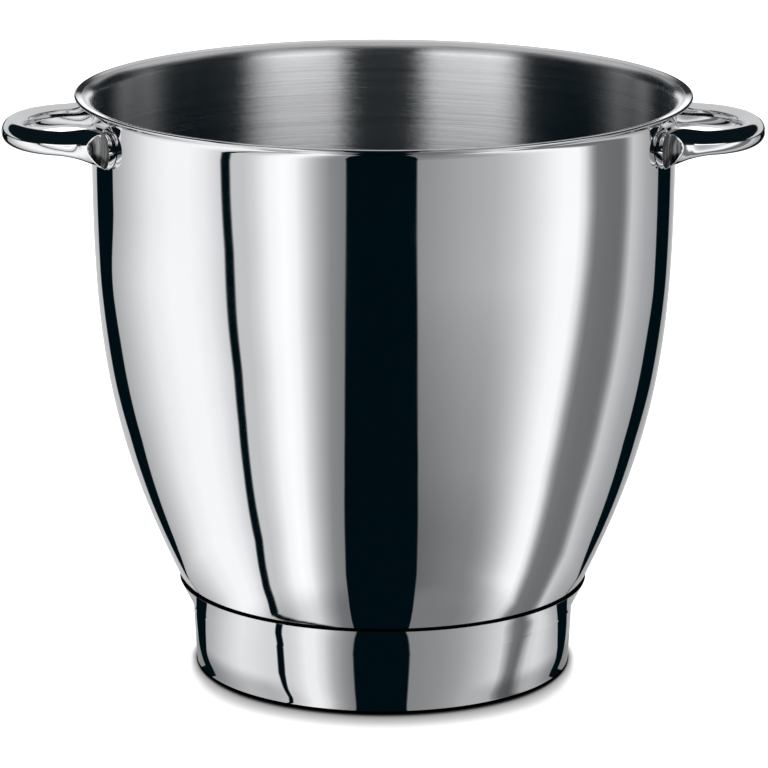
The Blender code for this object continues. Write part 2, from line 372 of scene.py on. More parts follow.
# ----------------------------------------------------------------------- bowl
def wall_radius(z):
    t = (WALL_TOP - z) / WALL_RUN
    return WALL_RADIUS - sum(c * t ** p for c, p in WALL_TERMS)


def wall_slope(z):
    t = (WALL_TOP - z) / WALL_RUN
    return sum(c * p * t ** (p - 1) for c, p in WALL_TERMS) / WALL_RUN


def bowl_outside():
    lean = atan(wall_slope(BELLY_END))
    start = (wall_radius(BELLY_END), BELLY_END)
    centre = (start[0] - CORNER_RADIUS * cos(lean),
              start[1] + CORNER_RADIUS * sin(lean))
    bottom = centre[1] - CORNER_RADIUS
    points = []
    for i in range(13):
        r = CROWN_RADIUS * i / 12
        points.append((r, bottom + BOTTOM_CROWN * 0.5 * (1 + cos(pi * i / 12))))
    points += [(CROWN_RADIUS + (centre[0] - CROWN_RADIUS) * i / 3, bottom) for i in (1, 2)]
    points += arc(centre, CORNER_RADIUS, -pi / 2, -lean, 14)
    edge_z = RIM_HEIGHT - SHEET / 2
    mid_fillet = LIP_FILLET + SHEET / 2
    mid_wall = WALL_RADIUS - SHEET / 2
    edge_r = RIM_RADIUS - SHEET / 2
    turn = pi / 2 + LIP_SLOPE
    arc_end_r = mid_wall + mid_fillet * (1 + cos(turn))
    fillet_z = edge_z - (edge_r - arc_end_r) * tan(LIP_SLOPE) - mid_fillet * sin(turn)
    steps = 72
    for i in range(1, steps):
        t = (i / steps) ** 1.12
        z = BELLY_END + (fillet_z - BELLY_END) * t
        points.append((wall_radius(z), z))
    points += arc((WALL_RADIUS + LIP_FILLET, fillet_z), LIP_FILLET, pi, turn, 14)
    last = (edge_r + SHEET / 2 * sin(LIP_SLOPE), edge_z - SHEET / 2 * cos(LIP_SLOPE))
    prev = points[-1]
    points += [(prev[0] + (last[0] - prev[0]) * i / 4, prev[1] + (last[1] - prev[1]) * i / 4)
               for i in (1, 2, 3)]
    points.append(last)
    return points


def make_bowl(polished, brushed):
    outside = bowl_outside()
    inside = offset(outside, SHEET)
    inside[0] = (0.0, outside[0][1] + SHEET)
    edge = (RIM_RADIUS - SHEET / 2, RIM_HEIGHT - SHEET / 2)
    inside[-1] = (edge[0] - SHEET / 2 * sin(LIP_SLOPE),
                  edge[1] + SHEET / 2 * cos(LIP_SLOPE))
    nose = arc(edge, SHEET / 2, LIP_SLOPE - pi / 2, LIP_SLOPE + pi / 2, 10)[1:-1]
    profile = outside + nose + inside[::-1]
    # the polish runs over the lip, the brushing starts at its fillet
    lip = 4
    face_mat = [0] * (len(outside) + len(nose) + lip - 1) + [1] * (len(inside) - lip + 1)
    return turned("bowl", profile, (polished, brushed), face_mat)


# ----------------------------------------------------------------------- foot
def foot_outside():
    lean = FOOT_TAPER
    bend = (FOOT_BASE_RADIUS - FOOT_BEND, FOOT_BEND)
    flat_end = FOOT_BASE_RADIUS - FOOT_BEND
    points = [(FOOT_FLANGE_INNER + (flat_end - FOOT_FLANGE_INNER) * i / 4, 0.0) for i in range(4)]
    points += arc(bend, FOOT_BEND, -pi / 2, -lean, 12)
    foot_line = points[-1]
    corner = (foot_line[0] + tan(lean) * (FOOT_CORNER - foot_line[1]), FOOT_CORNER)
    flare_lean = atan((FOOT_TOP_RADIUS - corner[0]) / (FOOT_TOP - corner[1]))
    reach = FOOT_SHOULDER_FILLET * tan((flare_lean - lean) / 2)
    centre = (corner[0] - reach * sin(lean) + FOOT_SHOULDER_FILLET * cos(lean),
              corner[1] - reach * cos(lean) - FOOT_SHOULDER_FILLET * sin(lean))
    fillet = arc(centre, FOOT_SHOULDER_FILLET, pi - lean, pi - flare_lean, 10)
    a, b = points[-1], fillet[0]
    points += [(a[0] + (b[0] - a[0]) * i / 12, a[1] + (b[1] - a[1]) * i / 12) for i in range(1, 12)]
    points += fillet
    a, b = points[-1], (FOOT_TOP_RADIUS, FOOT_TOP)
    points += [(a[0] + (b[0] - a[0]) * i / 8, a[1] + (b[1] - a[1]) * i / 8)
               for i in range(1, 9)]
    return points


def make_foot(polished, seam):
    """The foot's sheet, ironed thin where it hugs the belly, with a bevelled edge."""
    outside = foot_outside()
    inside = []
    for point, plain in zip(outside, offset(outside, FOOT_SHEET)):
        hug = wall_radius(max(point[1], BELLY_END / 2)) + FOOT_GAP
        inside.append((max(plain[0], hug) if point[1] > 16.0 * MM else plain[0],
                       plain[1] if point[1] < 16.0 * MM else point[1] - 0.02 * MM))
    top = FOOT_TOP + FOOT_BEVEL
    bevel_end = (wall_radius(top) + 0.05 * MM, top)
    soft = 0.10 * MM
    corner = outside[-1]
    rim = [(corner[0] - soft * 0.35, corner[1] + soft * 0.9),
           ((corner[0] + bevel_end[0]) / 2, (corner[1] + bevel_end[1]) / 2),
           bevel_end,
           (wall_radius(FOOT_TOP) + FOOT_GAP, FOOT_TOP)]
    profile = outside + rim + inside[-2::-1]
    face_mat = [0] * len(profile)
    # the three bevel faces take the near-black material, painted shade of the gap against the belly
    for k in range(len(outside), len(outside) + 3):
        face_mat[k] = 1
    return turned("foot", profile, (polished, seam), face_mat, closed=True,
                  sharp=radians(30.0))


# ------------------------------------------------------------ twist-lock ring
def lock_inner(angle):
    """Inner radius of the stamped ring, with rounded corners on its lugs."""
    pitch = 2 * pi / LUG_COUNT
    away = abs((angle - pi / 4 + pitch / 2) % pitch - pitch / 2)
    t = (away - (LUG_ANGLE / 2 - radians(0.6))) / radians(1.8)
    t = min(max(t, 0.0), 1.0)
    t = t * t * (3 - 2 * t)
    return LUG_INNER + (LOCK_INNER - LUG_INNER) * t


def make_lock(mat):
    angles = []
    pitch = 2 * pi / LUG_COUNT
    for lug in range(LUG_COUNT):
        middle = pi / 4 + lug * pitch
        edge = LUG_ANGLE / 2
        marks = [-edge * (1 - i / 8) for i in range(8)] + [edge * i / 8 for i in range(8)]
        marks = [m for m in marks if abs(m) < edge - radians(0.7)]
        ramp = [edge - radians(0.7) + radians(2.0) * i / 10 for i in range(11)]
        rest = pitch - 2 * ramp[-1]
        between = [ramp[-1] + rest * i / 20 for i in range(1, 20)]
        for m in sorted(set([-a for a in ramp] + marks + ramp)) + between:
            angles.append(middle + m)
    soft = 0.25 * MM
    low, high = LOCK_LOW, LOCK_LOW + LOCK_PLATE
    verts, faces = [], []
    for angle in angles:
        inner = lock_inner(angle)
        ring = ((inner + soft, low), (LOCK_OUTER - soft, low), (LOCK_OUTER, low + soft),
                (LOCK_OUTER, high - soft), (LOCK_OUTER - soft, high), (inner + soft, high),
                (inner, high - soft), (inner, low + soft))
        verts += [(r * cos(angle), r * sin(angle), z) for r, z in ring]
    count = len(angles)
    for a in range(count):
        b = (a + 1) % count
        for k in range(8):
            j = (k + 1) % 8
            faces.append((a * 8 + k, a * 8 + j, b * 8 + j, b * 8 + k)[::-1])
    return link("lock_ring", verts, faces, (mat,), sharp=radians(30.0))


# -------------------------------------------------------------------- handles
def natural_spline(knots, values):
    """Second derivatives of the natural cubic spline through values."""
    n = len(knots)
    second = [0.0] * n
    work = [0.0] * n
    for i in range(1, n - 1):
        ratio = (knots[i] - knots[i - 1]) / (knots[i + 1] - knots[i - 1])
        p = ratio * second[i - 1] + 2.0
        second[i] = (ratio - 1.0) / p
        rise = ((values[i + 1] - values[i]) / (knots[i + 1] - knots[i])
                - (values[i] - values[i - 1]) / (knots[i] - knots[i - 1]))
        work[i] = (6.0 * rise / (knots[i + 1] - knots[i - 1]) - ratio * work[i - 1]) / p
    second[-1] = 0.0
    for i in range(n - 2, -1, -1):
        second[i] = second[i] * second[i + 1] + work[i]
    return second


def spline_at(knots, values, second, s):
    k = 0
    while k < len(knots) - 2 and s > knots[k + 1]:
        k += 1
    h = knots[k + 1] - knots[k]
    a = (knots[k + 1] - s) / h
    b = (s - knots[k]) / h
    return (a * values[k] + b * values[k + 1]
            + ((a ** 3 - a) * second[k] + (b ** 3 - b) * second[k + 1]) * h * h / 6.0)


def blend(t):
    t = min(max(t, 0.0), 1.0)
    return t * t * (3.0 - 2.0 * t)


def soft_min(a, b, k):
    h = max(k - abs(a - b), 0.0) / k
    return min(a, b) - h * h * k * 0.25


def soft_max(a, b, k):
    return -soft_min(-a, -b, k)


def handle_rings():
    half = [(x * MM, y * MM) for x, y in HALF_PATH]
    plan = [(x, -y) for x, y in half[:0:-1]] + half
    knots = [0.0]
    for a, b in zip(plan, plan[1:]):
        knots.append(knots[-1] + hypot(b[0] - a[0], b[1] - a[1]))
    xs, ys = [p[0] for p in plan], [p[1] for p in plan]
    sx, sy = natural_spline(knots, xs), natural_spline(knots, ys)
    total = knots[-1]

    steps = [0.0, 0.03, 0.08, 0.15, 0.25, 0.4, 0.6, 0.85, 1.15, 1.5]
    while steps[-1] < 34.0:
        steps.append(steps[-1] + 0.4)
    while steps[-1] < total / MM / 2 - 1.0:
        steps.append(steps[-1] + 0.9)
    stations = ([s * MM for s in steps] + [total / 2]
                + [total - s * MM for s in reversed(steps)])
    rings = []
    for s in stations:
        e = min(s, total - s)
        cx, cy = spline_at(knots, xs, sx, s), spline_at(knots, ys, sy, s)
        d = 0.05 * MM
        tx = spline_at(knots, xs, sx, s + d) - spline_at(knots, xs, sx, s - d)
        ty = spline_at(knots, ys, sy, s + d) - spline_at(knots, ys, sy, s - d)
        size = hypot(tx, ty)
        nx, ny = -ty / size, tx / size
        wide = blend((33.0 * MM - e) / (18.0 * MM))
        high = TUBE_RADIUS + (PAD_HALF_HEIGHT - TUBE_RADIUS) * wide
        deep = TUBE_RADIUS + (3.2 * MM - TUBE_RADIUS) * blend((22.0 * MM - e) / (12.0 * MM))
        if e < PAD_TIP:
            high *= max(sqrt(max(1.0 - ((PAD_TIP - e) / PAD_TIP) ** 2, 0.0)), 0.04)
        dot, sq = cx * nx + cy * ny, cx * cx + cy * cy
        disc = dot * dot - sq + PAD_SOLE ** 2
        low_u = -1.0
        if disc > 0.0 and dot > 0.5 * sqrt(sq):
            low_u = -dot + sqrt(disc)
        face_u = 1.0
        side = 1.0 if cy < 0.0 else -1.0
        qx, qy = cx - DISH_CENTRE[0], cy - side * DISH_CENTRE[1]
        qd, qq = qx * nx + qy * ny, qx * qx + qy * qy
        if e < 9.0 * MM:
            disc = dot * dot - sq + PAD_FACE ** 2
            face_u = -dot + sqrt(disc)
        ring = []
        for k in range(TUBE_SIDES):
            angle = 2.0 * pi * (k + 0.5) / TUBE_SIDES
            u, up = deep * cos(angle), high * sin(angle)
            punched = False
            disc = qd * qd - qq + DISH_RADIUS ** 2 - (DISH_TALL * up) ** 2
            if e < 30.0 * MM and u > 0.0 and disc > 0.0:
                dish_u = -qd - sqrt(disc)
                punched = dish_u < min(u, face_u) - 0.05 * MM
                u = soft_min(u, dish_u, 0.25 * MM)
            flat = e < 9.0 * MM and not punched and u > face_u - 0.1 * MM
            u = soft_min(u, face_u, 0.3 * MM)
            u = max(u, low_u)
            ring.append((cx + u * nx, cy + u * ny, HANDLE_HEIGHT + up,
                         1 if punched else 2 if flat else 0))
        rings.append(ring)
    return rings


def make_handle(name, mats, flip):
    rings = handle_rings()
    verts, faces = [], []
    sign = -1.0 if flip else 1.0
    for ring in rings:
        verts += [(sign * x, sign * y, z) for x, y, z, punched in ring]
    n = TUBE_SIDES
    marks = []
    for a in range(len(rings) - 1):
        for k in range(n):
            j = (k + 1) % n
            faces.append((a * n + k, (a + 1) * n + k, (a + 1) * n + j, a * n + j))
            kinds = [rings[b][m][3] for b in (a, a + 1) for m in (k, j)]
            marks.append(kinds[0] if min(kinds) == max(kinds) else 0)
    faces.append(tuple(range(n)))
    last = (len(rings) - 1) * n
    faces.append(tuple(range(last + n - 1, last - 1, -1)))
    return link(name, verts, faces, mats, marks + [0, 0], sharp=radians(60.0))


# ---------------------------------------------------------------- the studio
def linear(level):
    """Scene light for a steel that shows as this display level."""
    level = min(max(level, 0.0), 1.0)
    value = level / 12.92 if level < 0.04045 else ((level + 0.055) / 1.055) ** 2.4
    return value / 0.80


def ramp(edge0, edge1, x):
    t = (x - edge0) / (edge1 - edge0)
    t = min(max(t, 0.0), 1.0)
    return t * t * (3 - 2 * t)


# Low cards round the bowl. Each has a place on a dial, in degrees: 0 is towards
# the camera and plus is to the camera's right. Cards fade across their width.
LOW_CARDS = (
    (-180, 0.86), (-160, 0.80), (-152, 0.72), (-142.7, 0.70),     # rear left wall
    (-142.1, 0.0), (-128.5, 0.0),                                 # black flag
    (-127.8, 0.65), (-118, 0.73), (-100, 0.91), (-88, 0.965),     # left soft box
    (-78, 0.965), (-70, 0.92), (-63, 0.82),
    (-57, 0.76), (-53, 0.76), (-49, 0.82), (-43, 0.96),           # front left box
    (-37.5, 1.0), (-33, 0.96), (-25, 0.68), (-20, 0.53), (-14, 0.48),
    (13, 0.55), (30, 0.65), (39, 0.69), (46, 0.76),               # front right box
    (60, 0.94), (65, 0.98), (71, 0.98), (74, 0.87), (77.5, 0.58),
    (80, 0.455), (86, 0.425), (93, 0.415), (95.5, 0.46), (98, 0.60),   # grey flag
    (102, 0.77), (106, 0.74), (115, 0.65), (127.5, 0.585),        # right soft box
    (128.3, 0.0), (142.1, 0.0),                                   # black flag
    (142.8, 0.60), (150, 0.64), (158, 0.78), (170, 0.88), (180, 0.86),  # rear right wall
)

# Where the cards' edges show on the table, as (distance in metres, degrees).
FLAG_OUTER = ((0.10, 110), (0.137, 126.2), (0.14, 128), (0.16, 131), (0.19, 134), (0.225, 135.7),
              (0.325, 137.2), (0.436, 142.3), (0.56, 145), (0.71, 148.5), (1.03, 150))
FLAG_INNER = ((0.10, 109.8), (0.137, 125.8), (0.149, 123.4), (0.167, 122), (0.29, 122),
              (0.385, 124.7), (0.51, 127.3), (0.67, 131.3), (1.05, 132.5))
BOX_SEAM = ((0.060, 63.4), (0.079, 64.3), (0.086, 64.2), (0.093, 64.6),
            (0.107, 63.4), (0.127, 61), (0.156, 60.2), (0.20, 59), (0.28, 58), (0.40, 58),
            (0.56, 59.6), (0.83, 60.6), (1.0, 61.9), (1.3, 62.9))
OPENING = ((0.0585, 15.9), (0.0605, 16.8), (0.064, 17.6), (0.070, 18.1), (0.08, 18.2), (0.09, 18.2), (0.11, 17.25),
           (0.178, 15.25), (0.255, 14.25), (0.40, 13.6), (0.95, 12.9))
GREY_START = ((0.066, 64), (0.089, 76.9), (0.11, 78.2), (0.14, 77.5), (0.215, 76), (0.30, 77),
              (0.42, 79.1), (0.58, 81.9), (0.78, 84.7), (0.98, 86.3))
GREY_END = ((0.066, 76), (0.085, 90), (0.10, 94), (0.116, 95.9), (0.135, 97.2), (0.19, 95.4),
            (0.33, 97.8), (0.455, 100.6), (0.62, 103.2), (1.0, 106.6))

# The close cards that only the foot sees: first an upright ring round it, with
# the edges' bearings by height in mm, then a flat brim by distance in mm.
SKIRT_RADIUS = 0.078
SKIRT_TOP = 0.0230
SKIRT = (
    ((-1.4, -77.5), (-0.6, -79.5), (1.2, -82.5), (3, -85.3), (5, -87.0), (7, -87.8), (15.5, -88.2),
     (17.8, -87.2), (22, -85.4)),
    ((-0.2, -67.7), (0.7, -69.8), (2.6, -72.9), (4.5, -74.9), (6.6, -75.4), (10.8, -74.9),
     (15, -74.2), (19, -73.2), (22, -72.7)),
    ((0.8, -30), (2.3, -30.8), (4.3, -31.7), (6.4, -32.2), (10.5, -32.9), (22, -33)),
    ((1.2, -8.1), (6.4, -8.4), (16, -8.7), (22, -8.8)),
    ((1.2, 7.5), (8, 7.75), (16, 8.0), (22, 8.1)),
    ((1, 37.7), (2, 38.3), (4, 39.3), (6, 40), (10, 40.9), (16.4, 41.6), (22, 41.9)),
    ((0.7, 46.6), (6, 46.8), (10, 47.5), (16, 48.9), (21.6, 50.4)),
    ((-0.2, 67.6), (0.8, 69.2), (2.7, 71.7), (4.6, 73.2), (8.8, 73.5), (13, 72.6),
     (17.3, 71.7), (22, 70.5)),
    ((-1.1, 75.5), (-0.2, 77.5), (1.7, 80.2), (3.7, 82.2), (5.7, 83.3), (9.8, 84.4),
     (14, 83.9), (18.4, 82.6), (22, 81.5)),
)
BRIM = (
    ((75, -80.4), (75.6, -79.3), (79, -79.0), (82.6, -78.6)),
    ((75.0, -67.6), (75.6, -68.5), (77, -69.3), (78, -69.6), (80.4, -69.8)),
    ((75.5, -31.8), (77.5, -32.6), (80, -33.6), (82, -33.9), (84, -33.9)),
    ((76, -8.6), (79.2, -8.6), (81.7, -8.4), (83, -8.1), (84, -7.9)),
    ((76, 7.9), (79.2, 7.9), (81.7, 7.7), (83, 7.5), (84, 7.1)),
    ((75.8, 40.7), (76.5, 41.1), (77.6, 41.6), (80, 42.3), (81.3, 42.8), (82.5, 43.7),
     (83.7, 44.3)),
    ((75.7, 48.9), (77.5, 50.4), (78.6, 51.2), (79.8, 51.9), (81, 51.9), (82.3, 51.3)),
    ((75.5, 67), (77, 67.8), (79.2, 68.2), (81.7, 68.3)),
    ((75.0, 76.8), (76.5, 76.5), (81, 76.8)),
)
ROOM_LIGHT = 2.4
INNER_LIGHT = 1.65

# Places of those edges on the close cards' own dial, and the levels there.
CLOSE_EDGES = (-88, -74.5, -33, -8.6, 7.9, 41, 49, 73, 84)
CLOSE_CARDS = (
    (-180, 0.80), (-150, 0.86), (-120, 0.74), (-97, 0.66), (-88.6, 0.64), (-88, 0.0),
    (-74.5, 0.0), (-73.8, 0.64), (-68, 0.69), (-64, 0.74), (-60, 0.79), (-55, 0.85),
    (-50, 0.89), (-45, 0.875), (-39, 0.84), (-33, 0.82), (-30, 0.81), (-27, 0.86),
    (-24, 0.935), (-21, 0.935), (-18, 0.84), (-15, 0.67), (-12, 0.56), (-9, 0.48),
    (8, 0.51), (12, 0.525), (18, 0.555), (24, 0.61), (30, 0.705), (36, 0.80), (38.5, 0.82),
    (41, 0.62), (43, 0.45), (46, 0.39), (47.5, 0.45), (49, 0.60), (52, 0.80), (56, 0.84),
    (60, 0.81), (64, 0.74), (68, 0.67), (72.4, 0.62), (73, 0.0), (84, 0.0), (84.7, 0.60),
    (97, 0.66), (120, 0.74), (150, 0.86), (180, 0.80),
)
# The dark gap turns along the seam here, as (bearing, distance in mm).
HOOK = ((-66.4, 81.6), (-65.6, 79.4), (-62.6, 76.2), (-58.4, 73.2), (-51.0, 69.6), (-40, 65.3),
        (-27, 61), (-18, 58.6))


def between(knots, x):
    if x <= knots[0][0]:
        return knots[0][1]
    for (x0, v0), (x1, v1) in zip(knots, knots[1:]):
        if x <= x1:
            return v0 + (v1 - v0) * (x - x0) / (x1 - x0)
    return knots[-1][1]


def log_knots(knots):
    return tuple((log(r), v) for r, v in knots)


EDGES = tuple(log_knots(k) for k in (FLAG_OUTER, FLAG_INNER, BOX_SEAM, OPENING,
                                     GREY_START, GREY_END))


def card_marks(r):
    """Pairs of bearing on the table at distance r and place on the dial."""
    outer, inner, seam, opening, grey, grey_end = (between(k, log(r)) for k in EDGES)
    return ((-180, -180), (-outer, -142.5), (4.0 * ramp(0.70, 0.95, r) - inner, -128), (-seam, -60),
            (-0.75 - opening, -14.2), (opening - 0.75, 12.8), (grey, 77),
            (grey_end, 97), (inner, 128), (outer, 142.5), (180, 180))


def low_level(seen, r, x, y):
    """Brightness that the steel finds at this place on the dial."""
    level = between(LOW_CARDS, seen)
    # the front right box is weaker nearer the foot
    if 10.0 < seen < 75.0:
        weak = between(((0.065, 0.90), (0.085, 0.72), (0.12, 0.72), (0.2, 0.82),
                        (0.35, 0.88), (0.7, 1.0)), r)
        level *= 1.0 - (1.0 - weak) * (1.0 - ramp(40.0, 72.0, seen))
        # and dull just above the seam
        seam = between(((13, 0.46), (45, 0.47), (57, 0.525), (65, 0.65), (72, 0.76)), seen)
        level += (min(seam, level) - level) * (1.0 - ramp(0.070, 0.100, r))
    elif seen < -15.0:
        level *= 1.0 - 0.15 * (1.0 - ramp(0.070, 0.090, r))
    # the thin dark gap between two boxes, and the opening for the camera
    degree = max(1.0, 0.20 / r)
    line = ramp(1.25 * degree ** 0.4, 2.5 * degree ** 0.4, abs(seen + 60.0))
    level *= 1.0 - (1.0 - line) * ramp(0.0768, 0.0782, r)
    if r < 0.083:
        bearing = degrees(atan2(x, -0.036 - y))
        if -66.4 < bearing < -17.0:
            wide = between(((-66.4, 2.8), (-62.6, 1.9), (-50.0, 0.85), (-17.0, 0.6)), bearing)
            level *= ramp(0.55 * wide, wide, abs(r / MM - between(HOOK, bearing)))
    level *= 1.0 - ramp(-14.9, -14.0, seen) * (1.0 - ramp(12.6, 13.5, seen))
    return level


def close_level(seen, height):
    level = between(CLOSE_CARDS, seen)
    # the boxes fade towards the table, the middle doesn't
    low = 1.0 - ramp(2.0, 9.0, height / MM)
    level *= 1.0 - 0.20 * low * ramp(25.0, 42.0, abs(seen))
    line = 0.85 + 0.40 * ramp(3.0, 12.0, height / MM)
    level *= ramp(line * 0.75, line * 1.25, abs(seen + 33.0))
    level *= 1.0 - ramp(-9.1, -8.3, seen) * (1.0 - ramp(7.6, 8.4, seen))
    return level


def make_close_cards():
    """Black step at the table, upright ring and flat brim, seen by the foot only."""
    dial = set(-180.0 + 2.0 * i for i in range(180))
    dial.update(-100.0 + 0.5 * i for i in range(401))
    for edge, reach in ((-88.3, 0.6), (-74.2, 0.6), (-33.0, 2.0), (-8.7, 0.7), (8.0, 0.7),
                        (72.7, 0.6), (84.3, 0.6)):
        dial.update(edge + reach * (i / 8.0 - 1.0) for i in range(17))
    dial = sorted(dial)
    dark, mid = 0.0743, 0.0746
    rows = [(0.070, -0.0011, 0.0), (dark, -0.0011, 0.0), (mid, -0.0011, 1.0),
            (SKIRT_RADIUS, -0.0011, 1.0)]
    rows += [(SKIRT_RADIUS, SKIRT_TOP * i / 24.0, 1.0) for i in range(1, 25)]
    rows += [(SKIRT_RADIUS - (SKIRT_RADIUS - 0.0749) * i / 4.0, SKIRT_TOP, 2.0) for i in range(5)]
    rows += [(0.0749 + 0.0103 * i / 20.0, SKIRT_TOP + 0.00005, 2.0) for i in range(21)]
    verts, glow = [], []
    for r, z, kind in rows:
        if kind == 2.0:
            marks = tuple(between(k, r / MM) for k in BRIM)
        else:
            marks = tuple(between(k, z / MM) for k in SKIRT)
        marks = ((-180.0, -180.0),) + tuple(zip(CLOSE_EDGES, marks)) + ((180.0, 180.0),)
        for seen in dial:
            az = radians(between(marks, seen))
            # the brim ends just inside what the bowl's wall sees
            far = min(r, 0.0846 - 0.0014 * ramp(20.0, 85.0, abs(degrees(az))))
            verts.append((far * sin(az), -far * cos(az), z))
            height = SKIRT_TOP if kind == 2.0 else max(z, 0.0)
            glow.append(linear(close_level(seen, height)) if kind > 0.0 else 0.0)
    n = len(dial)
    faces = [(a * n + k, a * n + (k + 1) % n, (a + 1) * n + (k + 1) % n, (a + 1) * n + k)
             for a in range(len(rows) - 1) for k in range(n)]
    return glowing("close_cards", verts, faces, glow)


def make_low_cards():
    """The table's reflected side, in columns that follow the cards' edges."""
    dial = set(-180 + 1.0 * i for i in range(360))
    for edge, reach in ((-142.4, 1.2), (-128.2, 1.2), (-60.0, 3.6), (-14.4, 1.4), (13.0, 1.4),
                        (77.0, 3.0), (97.0, 3.0), (128.0, 1.2), (142.4, 1.2)):
        dial.update(edge + reach * (i / 12.0 - 1.0) for i in range(25))
    dial = sorted(dial)
    radii = [0.020]
    while radii[-1] < 3.0:
        fine = 0.055 < radii[-1] < 0.081
        radii.append(radii[-1] * (1.005 if fine else 1.03 if radii[-1] < 0.3 else 1.06))
    radii[-1] = 3.0
    verts, glow = [], []
    for r in radii:
        marks = tuple((d, az) for az, d in card_marks(r))
        for seen in dial:
            az = radians(between(marks, seen))
            x, y = r * sin(az), -0.036 - r * cos(az)
            verts.append((x, y, -0.0012))
            glow.append(linear(low_level(seen, r, x, y)))
    n = len(dial)
    faces = [(a * n + k, a * n + (k + 1) % n, (a + 1) * n + (k + 1) % n, (a + 1) * n + k)
             for a in range(len(radii) - 1) for k in range(n)]
    faces.append(tuple(range(n))[::-1])
    return glowing("low_cards", verts, faces, glow)


def glowing(name, verts, faces, glow):
    mesh = bpy.data.meshes.new(name)
    mesh.from_pydata(verts, [], faces)
    mesh.attributes.new("glow", "FLOAT", "POINT").data.foreach_set("value", glow)
    obj = bpy.data.objects.new(name, mesh)
    bpy.context.scene.collection.objects.link(obj)
    obj.rotation_euler = (0.0, 0.0, -TURN)
    return obj


def glow_material(name, one_sided=False):
    mat = bpy.data.materials.new(name)
    mat.use_nodes = True
    tree = mat.node_tree
    tree.nodes.clear()
    out = add(tree, "ShaderNodeOutputMaterial", 600)
    emit = add(tree, "ShaderNodeEmission", 400)
    source = add(tree, "ShaderNodeAttribute", attribute_type="GEOMETRY", attribute_name="glow")
    dark = add(tree, "ShaderNodeVectorMath", operation="ADD")
    join = add(tree, "ShaderNodeCombineXYZ")
    for socket in join.inputs:
        tree.links.new(source.outputs["Fac"], socket)
    tree.links.new(join.outputs[0], dark.inputs[0])
    # the blacks keep a breath of blue-green
    dark.inputs[1].default_value = (0.0003, 0.0052, 0.0078)
    tree.links.new(dark.outputs[0], emit.inputs["Color"])
    if one_sided:
        mix = add(tree, "ShaderNodeMixShader")
        tree.links.new(add(tree, "ShaderNodeNewGeometry").outputs["Backfacing"], mix.inputs[0])
        tree.links.new(emit.outputs[0], mix.inputs[1])
        tree.links.new(add(tree, "ShaderNodeBsdfTransparent").outputs[0], mix.inputs[2])
        tree.links.new(mix.outputs[0], out.inputs["Surface"])
    else:
        tree.links.new(emit.outputs[0], out.inputs["Surface"])
    mat.cycles.emission_sampling = "NONE"
    return mat


def only_in_reflections(obj):
    obj.visible_camera = False
    obj.visible_diffuse = False
    obj.visible_transmission = False
    obj.visible_volume_scatter = False
    obj.visible_shadow = False
    obj.visible_glossy = True


# What the brushed wall finds round the bowl: (degrees from the middle of the back
# wall, display level), on the camera's right and left of the room.
RIGHT_ROOM = ((0, 0.15), (7.9, 0.15), (8.5, 0.60), (9.5, 0.83), (12.5, 0.82), (17.7, 0.84),
              (22, 0.83), (23.9, 0.78), (26.6, 0.67), (28.8, 0.50), (29.6, 0.15), (36, 0.10),
              (40.6, 0.04), (44, 0.09), (47.5, 0.03), (51.3, 0.16), (56, 0.34), (60, 0.28),
              (65.6, 0.10), (72, 0.03), (90, 0.02))
LEFT_ROOM = ((0, 0.15), (6.8, 0.15), (7.9, 0.48), (9.4, 0.78), (13, 0.80), (18, 0.82),
             (24.3, 0.84), (27.0, 0.75), (28.9, 0.53), (30.4, 0.17), (34.5, 0.07), (40.6, 0.02),
             (46, 0.02), (51.3, 0.16), (55.5, 0.32), (60.2, 0.28), (65.6, 0.08), (72, 0.03),
             (90, 0.02))


def high_level(x, y, z):
    """Brightness of the room above the table, as scene light."""
    az = degrees(atan2(x, -y))
    el = degrees(atan2(z - 0.215, hypot(x, y)))
    rise = cos(radians(el))
    seen = degrees(atan2(rise * sin(radians(abs(az))), 0.97 + rise * cos(radians(az))))
    room = linear(between(RIGHT_ROOM if az > 0.0 else LEFT_ROOM, seen)) * 0.80
    # the soft boxes are brightest low down
    tall = between(((0, 1.0), (10, 1.0), (20, 0.70), (40, 0.40), (60, 0.26), (74, 0.10)), el)
    value = ROOM_LIGHT * room * tall
    # the wall and ceiling behind the bowl, which the lip shows
    back = between(((0, 1.0), (9, 0.95), (11, 0.16), (15, 0.16), (18, 0.66), (24, 0.72),
                    (30, 0.775), (90, 0.77)), el)
    wide = ramp(26.0, 46.0, el)
    behind = ramp(166.0 - 61.0 * wide, 169.5 - 34.0 * wide, abs(az))
    return value + (linear(back) - value) * max(behind, ramp(76.0, 82.0, el))


def chord_bearing(x, y, z):
    """Place on the back wall, in degrees, that finds this spot of the inner cards, in mm."""
    low, high = 0.0, 80.0
    for _ in range(30):
        mid = (low + high) / 2.0
        turn = radians(mid)
        far = sqrt((x + 111.5 * sin(turn)) ** 2 + (y - 111.5 * cos(turn)) ** 2
                   + (z - 197.0) ** 2)
        if x * cos(turn) + y * sin(turn) > 0.97 * far * sin(turn):
            low = mid
        else:
            high = mid
    return low


def inner_level(x, y, z):
    x, y, z = x / MM, y / MM, z / MM
    level = linear(between(RIGHT_ROOM if x > 0.0 else LEFT_ROOM, chord_bearing(abs(x), y, z)))
    near = ramp(44.0, 62.0, y) * (1.0 - ramp(99.0, 106.0, hypot(x, y)))
    level += (linear(0.05) - level) * near
    if z < 155.5:
        gain = between(((-105, 0.50), (-68, 0.33), (-20, 0.20), (10, 0.14), (60, 0.07)), y)
    else:
        gain = between(((155, 0.50), (185, 0.80), (205, 1.45), (226, 2.3)), z)
    if x > 0.0:
        gain *= 0.78 + 0.22 * ramp(165.0, 200.0, z)
    return INNER_LIGHT * 0.80 * level * gain


